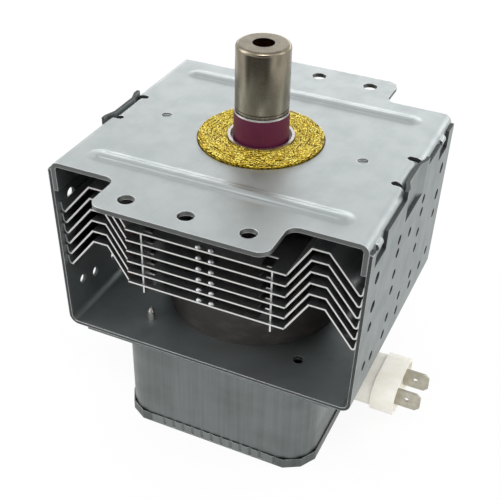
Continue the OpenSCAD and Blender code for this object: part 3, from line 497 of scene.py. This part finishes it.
# %% Brass finishes
def brass_core():
    f = Finish("brass_core")
    loops = f.node("ShaderNodeTexVoronoi", {}, {"Vector": f.stretched(0.6, 0.6, 0.6), "Scale": 1.0})
    hollow = loops.above(0.2, 0.7)
    return f.look(
        base_color=f.tint(hollow, rgb(176, 150, 44), rgb(92, 72, 14)),
        metallic=1.0,
        roughness=0.36 + hollow * 0.3,
        normal=f.bump(1 - hollow, 0.15))


def brass_wire():
    f = Finish("brass_wire")
    cloud = f.noise(f.stretched(1.6, 1.6, 1.6), 3)
    glint = f.noise(f.stretched(0.5, 0.5, 0.5), 2).above(0.42, 0.6)
    bright = f.tint(cloud.above(0.35, 0.68), rgb(255, 248, 142), rgb(242, 220, 88))
    return f.look(
        base_color=f.tint(glint, rgb(192, 162, 54), bright),
        metallic=1.0,
        roughness=0.22 + cloud * 0.16)


knit_core, knit_wire = brass_core(), brass_wire()
print("brass:", knit_core.name, knit_wire.name)

# %% [markdown]
# ## Dressing the solids
# Each solid keeps its own mesh and takes the finish of its material. The list follows the way that
# the object is put together, from the plate down to the filter box.

# %% Give each node its finish
finishes = {
    plate_zinc: ["mounting_plate"],
    yoke_zinc: ["yoke"],
    knit_core: ["rf_gasket"],
    shaded_cap_nickel: ["antenna_cap"],
    seal_nickel: ["seal_cup", "upper_can", "lower_can"],
    purple_ceramic: ["antenna_ceramic"],
    white_ceramic: ["stem_ceramic", "cap_block"],
    ferrite: ["upper_magnet", "lower_magnet", "choke_core_a", "choke_core_b"],
    fin_aluminium: ["fin_%d" % i for i in range(1, 7)],
    copper: ["exhaust_tube", "antenna_lead", "anode_cylinder", "strap_top_inner", "strap_top_outer",
             "strap_bottom_inner", "strap_bottom_outer"] + ["vane_%d" % i for i in range(1, 11)],
    pole_iron: ["upper_pole", "lower_pole"],
    cathode_metal: ["filament", "upper_hat", "lower_hat", "centre_lead", "side_lead"],
    bright_steel: ["stem_strip_a", "stem_strip_b", "box_screws", "cap_flange", "cap_rivets"],
    box_steel: ["filter_box"],
    shaded_lid_steel: ["filter_lid"],
    enamelled_wire: ["choke_coil_a", "choke_coil_b"],
    cream_plastic: ["cap_housing"],
    dark_resin: ["cap_case"],
    tinned_brass: ["tab_front", "tab_back"],
}
dressed = set()
for material, names in finishes.items():
    for name in names:
        nodes[name].data.materials.clear()
        nodes[name].data.materials.append(material)
        dressed.add(name)
print("dressed:", len(dressed), "left plain:", sorted(set(nodes) - dressed))

# %% [markdown]
# ## The knitted gasket
# A knitting machine forms the wire into rows of loops, each pulled through the row before. One loop
# is a wave that doubles back on itself, so its path is a plain formula: a step along the row, a
# swing across it and a small rise and fall where the wires cross. The rows run round the ring, and
# a slow wobble crushes them, as pressing does. The path is swept into a thin tube by hand, which
# keeps the count of faces known.

# %% Sweep a tube along a path
def tube_mesh(paths, radius, sides):
    """One mesh of closed tubes along rings of points."""
    points, faces = [], []
    for path in paths:
        count = len(path)
        ahead = np.roll(path, -1, 0) - np.roll(path, 1, 0)
        ahead /= np.linalg.norm(ahead, axis=1)[:, None]
        across = np.cross(ahead, (0.0, 0.0, 1.0))
        across /= np.linalg.norm(across, axis=1)[:, None]
        over = np.cross(across, ahead)
        turn = np.arange(sides) * 2 * math.pi / sides
        ring = (path[:, None] + radius * (np.cos(turn)[None, :, None] * across[:, None]
                                          + np.sin(turn)[None, :, None] * over[:, None]))
        start = sum(len(p) for p in points)
        points.append(ring.reshape(-1, 3))
        i = np.arange(count)
        for j in range(sides):
            k = (j + 1) % sides
            a, b = i * sides, (i + 1) % count * sides
            faces.append(start + np.stack([a + j, a + k, b + k, b + j], 1))
    return np.concatenate(points), np.concatenate(faces)


def new_piece(name, points, faces, material, slot):
    mesh = bpy.data.meshes.new(name)
    mesh.from_pydata(points.tolist(), [], faces.tolist())
    mesh.polygons.foreach_set("use_smooth", np.ones(len(mesh.polygons), bool))
    mesh.materials.append(material)
    piece = bpy.data.objects.new(name, mesh)
    bpy.context.scene.collection.objects.link(piece)
    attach(piece, "root")
    print(name, "faces:", len(mesh.polygons))


# %% [markdown]
# ## Rows of loops
# The ring's own solid gives the room for the rows, from its inner edge to its outer one. The throws
# of the dice are seeded, so the knit comes out the same each time.

# %% Knit the top layer of loops
dice = np.random.default_rng(7)
outer_r, top_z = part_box("rf_gasket")[1].x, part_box("rf_gasket")[1].z
inner_r = min(v.co.xy.length for v in nodes["rf_gasket"].data.vertices)
row_step, loop_step, wire_r = 0.0007, 0.0011, 0.00012
edge_r, loop_points, wire_sides = 0.0004, 12, 6
double_back, swing, rise = 0.26, 0.9, 0.9
crush_along, crush_across, crush_up = 0.2, 0.5, 0.8
row_shift = 0.1
rows = []
for r in np.arange(inner_r + edge_r, outer_r - edge_r, row_step):
    loops = int(2 * math.pi * r / loop_step)
    t = np.arange(loops * loop_points) / loop_points
    wobble = dice.normal(0, 1, (3, loops))
    slow = np.stack([np.interp(t, np.arange(loops + 1), np.append(w, w[0])) for w in wobble])
    along = t + double_back * np.sin(4 * math.pi * t) + crush_along * slow[0]
    angle = along / loops * 2 * math.pi + dice.uniform(0, row_shift)
    radius = r + swing * row_step * np.cos(2 * math.pi * t) + crush_across * row_step * slow[1]
    radius = np.clip(radius, inner_r + wire_r, outer_r - wire_r)
    inset = np.clip(np.minimum(radius - inner_r, outer_r - radius) / edge_r, 0, 1)
    height = top_z - edge_r * (1 - np.sqrt(1 - (1 - inset) ** 2))
    height = height + wire_r * (rise * np.cos(4 * math.pi * t) + crush_up * slow[2])
    rows.append(np.stack([radius * np.cos(angle), radius * np.sin(angle), height], 1))
new_piece("gasket_knit", *tube_mesh(rows, wire_r, wire_sides), knit_wire, "brass_mesh")
print("rows of loops:", len(rows))

# %% [markdown]
# ## Studio
# The part stands on its filter box on a white table. The table and the space round it are white to
# the lens and in reflections, and the table keeps a soft shadow. A bright lamp could bleach the
# table instead, but it would bleach the part as well, so a share of the table glows only for such
# rays.

# %% Table and surroundings
def flat_sheet(name, corners):
    """One upright or lying sheet of the studio, which isn't part of the object."""
    mesh = bpy.data.meshes.new(name)
    mesh.from_pydata(corners, [], [(0, 1, 2, 3)])
    sheet = bpy.data.objects.new(name, mesh)
    bpy.context.scene.collection.objects.link(sheet)
    sheet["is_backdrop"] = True
    return sheet


floor_z = cad_box[0].z
reach = 3
table = flat_sheet("table", [(-reach, -reach, floor_z), (reach, -reach, floor_z),
                             (reach, reach, floor_z), (-reach, reach, floor_z)])
f = Finish("white_table")
f.look(base_color=(0.85, 0.85, 0.85, 1), roughness=0.8)
white = f.node("ShaderNodeEmission", {}, {"Color": (1, 1, 1, 1), "Strength": 1.0})
share = 0.9
seen = f.node("ShaderNodeMixShader", {},
              {0: f.shown() * share, 1: Wire(f, f.shader.outputs[0]), 2: white})
f.feed(f.tree.nodes["Material Output"].inputs[0], seen)
table.data.materials.append(f.material)

world = bpy.data.worlds.new("white_room")
world.use_nodes = True
bpy.context.scene.world = world
room = Tree(world.node_tree)
background = world.node_tree.nodes["Background"]
room.feed(background.inputs["Color"], (1, 1, 1, 1))
fill = 0.85
room.feed(background.inputs["Strength"], fill + (1 - fill) * room.shown())
print("table at", round(1000 * floor_z, 1), "mm")

# %% [markdown]
# ## Cards
# Bright metal in a white room has nothing dark to show, and looks like paper. A photographer sets
# up cards for it: a black one on the table in front and one behind the lens give the round cap its
# dark middle, and a grey one overhead shades one side of the plate's beads. Painting that shade on
# the metal would be wrong from any other side. Only reflections see the cards.

# %% Felt cards
def felt_card(name, corners, tone):
    """A card that only reflections show, in a grey from 0 to 255."""
    card = flat_sheet(name, corners)
    card.visible_camera = card.visible_diffuse = False
    card.visible_shadow = card.visible_transmission = False
    felt = Finish(name + "_felt")
    nap = felt.noise(felt.stretched(0.8, 0.8, 0.8), 2)
    pile = tone + 12
    felt.look(base_color=felt.tint(nap, rgb(tone, tone, tone), rgb(pile, pile, pile)),
              roughness=0.9)
    card.data.materials.append(felt.material)
    return card


black_felt, grey_felt = 18, 140
low_z, near_y, far_y = floor_z + 0.0005, -0.16, -0.42
low_card = felt_card("low_card", [(-0.26, near_y, low_z), (0.32, near_y, low_z),
                                  (0.38, far_y, low_z), (-0.32, far_y, low_z)], black_felt)
behind = 2.1
middle = Vector((camera.location.x, camera.location.y, 0)) * behind
half_wide, tall = 0.22 * right, Vector((0, 0, 0.40))
lens_card = felt_card("lens_card", [middle - half_wide, middle + half_wide,
                                    middle + half_wide + tall, middle - half_wide + tall],
                      black_felt)
over_x, over_z = 0.5, 0.6
top_card = felt_card("top_card", [(-over_x, 0.1, over_z), (over_x, 0.1, over_z),
                                  (over_x, 0.3, over_z), (-over_x, 0.3, over_z)], grey_felt)
print("cards:", low_card.name, lens_card.name, top_card.name)

# %% [markdown]
# ## Lamps
# The room itself lights the part evenly, so the lamps only add shape. The left and right ones draw
# long highlights down the cap. The low strip at the back runs along the beads and the plate's bend,
# and the front one catches the cap's shoulder. Wide lamps keep every highlight soft.

# %% Soft lamps
def soft_lamp(name, at, size, watts):
    light = bpy.data.lights.new(name, "AREA")
    light.shape, light.size, light.size_y, light.energy = "RECTANGLE", size[0], size[1], watts
    lamp = bpy.data.objects.new(name, light)
    lamp.location = at
    lamp.rotation_mode = "QUATERNION"
    aim = Vector((0, 0, -0.02))
    lamp.rotation_quaternion = (aim - Vector(at)).to_track_quat("-Z", "Y")
    bpy.context.scene.collection.objects.link(lamp)
    return lamp


lamps = [soft_lamp("lamp_left", (-0.75, -0.25, 0.45), (0.5, 0.8), 3.0),
         soft_lamp("lamp_right", (0.8, 0.2, 0.5), (0.4, 0.8), 2.0),
         soft_lamp("lamp_back", (-0.05, 0.95, 0.2), (1.6, 0.2), 2.5),
         soft_lamp("lamp_front", (0.3, -0.65, 1.0), (0.6, 0.3), 5.0)]
print("lamps:", [(lamp.name, lamp.data.energy) for lamp in lamps])

# %% [markdown]
# ## Developing
# Blender's usual view transform softens bright colours. The plain one keeps a colour as it was
# written, which is what a comparison with a photograph needs.

# %% View transform
bpy.context.scene.view_settings.view_transform = "Standard"
print("view transform:", bpy.context.scene.view_settings.view_transform)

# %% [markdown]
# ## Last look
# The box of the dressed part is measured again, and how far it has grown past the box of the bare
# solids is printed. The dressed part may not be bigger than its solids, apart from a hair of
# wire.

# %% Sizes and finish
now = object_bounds()
grown = [abs(b) - abs(a) for before, after in zip(cad_box, now) for a, b in zip(before, after)]
print("grown by mm:", [round(1000 * v, 2) for v in grown])
